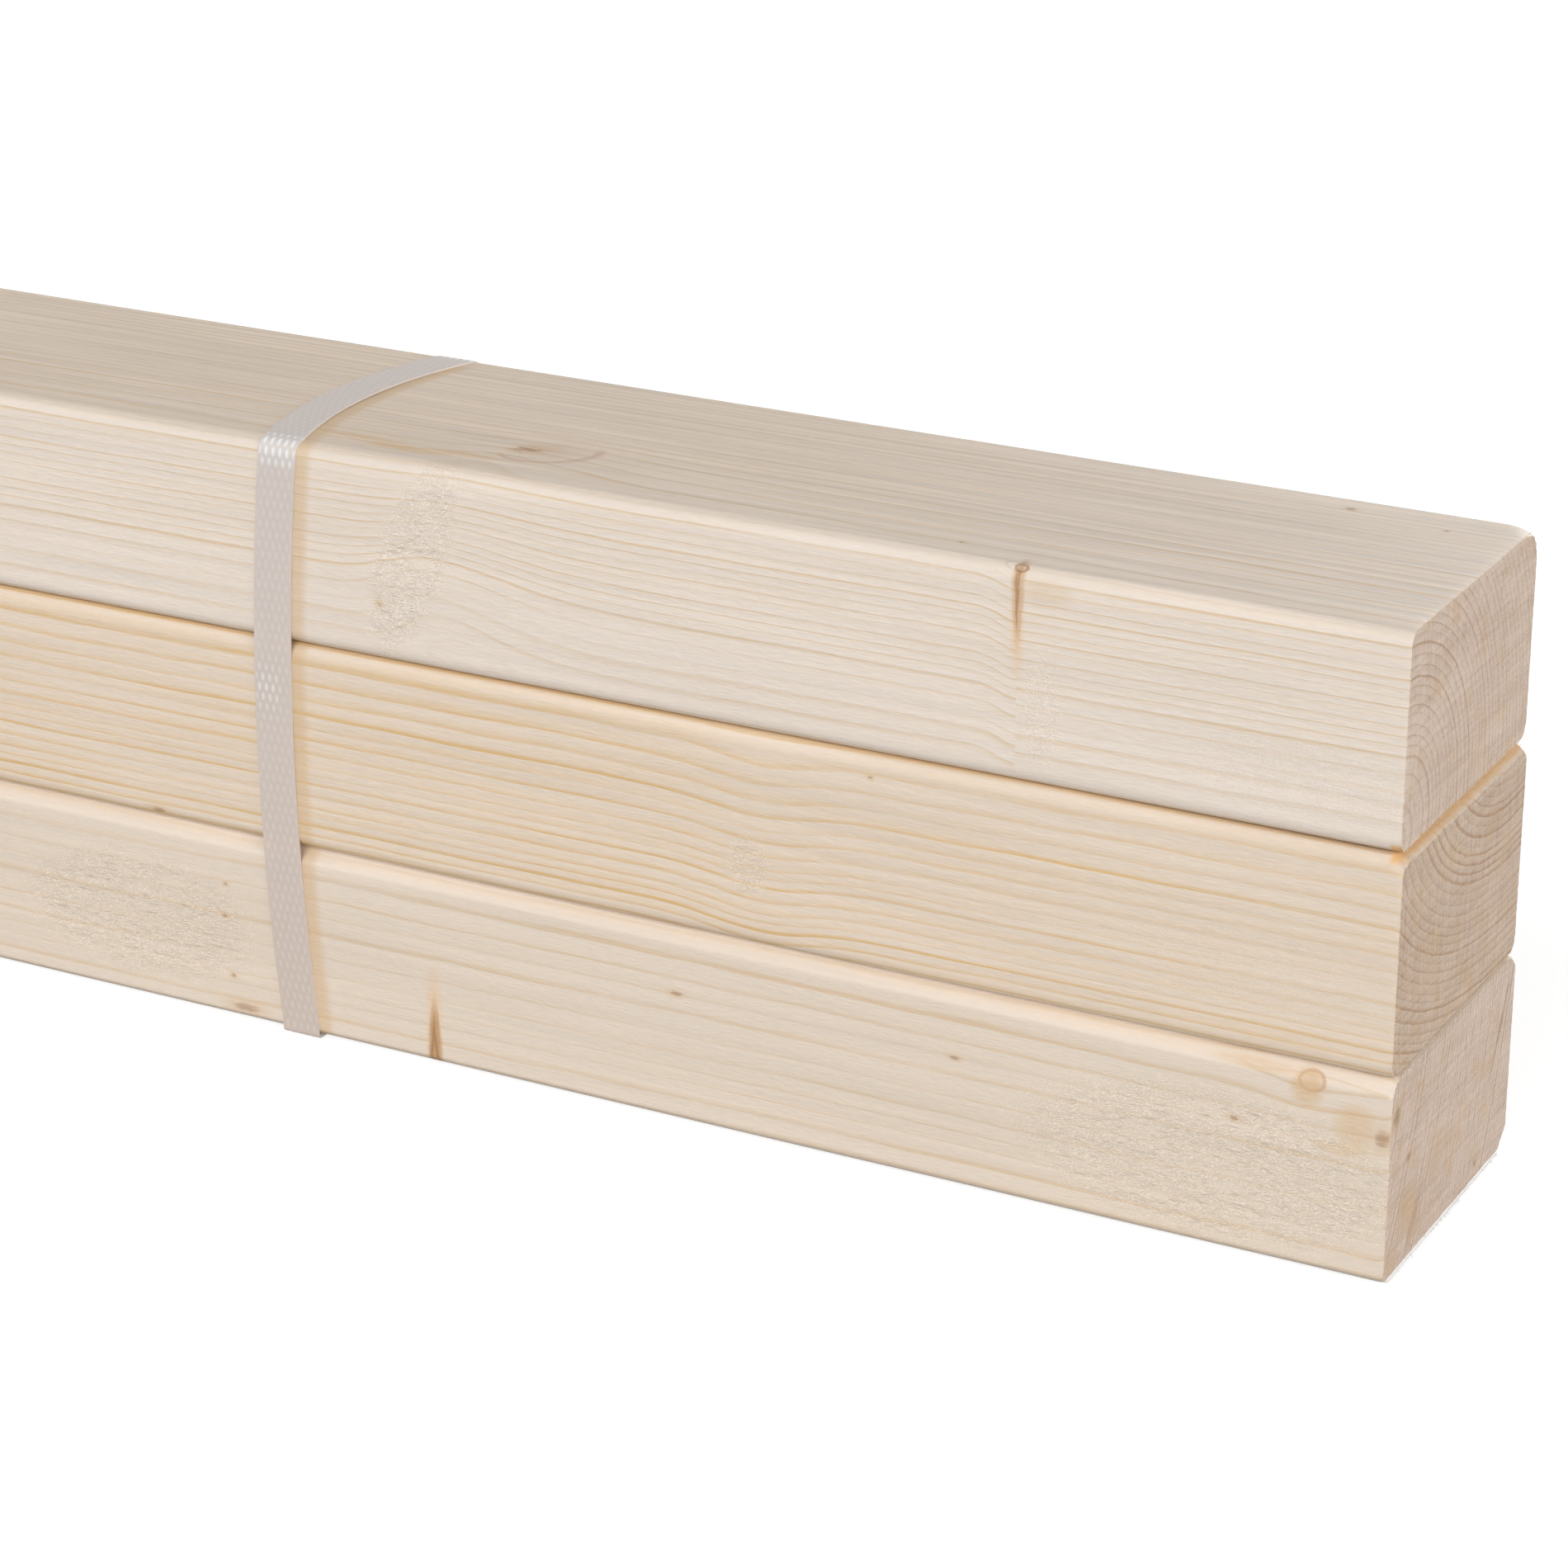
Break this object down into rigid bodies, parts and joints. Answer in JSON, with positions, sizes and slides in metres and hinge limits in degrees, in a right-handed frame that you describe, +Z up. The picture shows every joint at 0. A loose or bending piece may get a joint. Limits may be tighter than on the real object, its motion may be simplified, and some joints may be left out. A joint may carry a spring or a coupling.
{
  "type": "bundle of wooden battens",
  "caption": "Bundle of planed spruce battens lying flat on each other, with rounded long edges and square sawn ends, tied near both ends by embossed plastic straps; framing timber stock.",
  "frame": {"origin": "below the middle of the bundle, on the level that the straps' undersides lie on", "axes": "+X along the battens towards the end that the picture shows, +Y from the front face to the back, +Z up"},
  "size_m": [2.1011, 0.0708, 0.1332],
  "materials": {
    "spruce": "planed, unfinished",
    "strap": "embossed, translucent white"
  },
  "bodies": {
    "root": {"batten_bottom": "spruce", "batten_middle": "spruce", "batten_top": "spruce", "strap_near_end": "strap", "strap_far_end": "strap"}
  },
  "joints": []
}
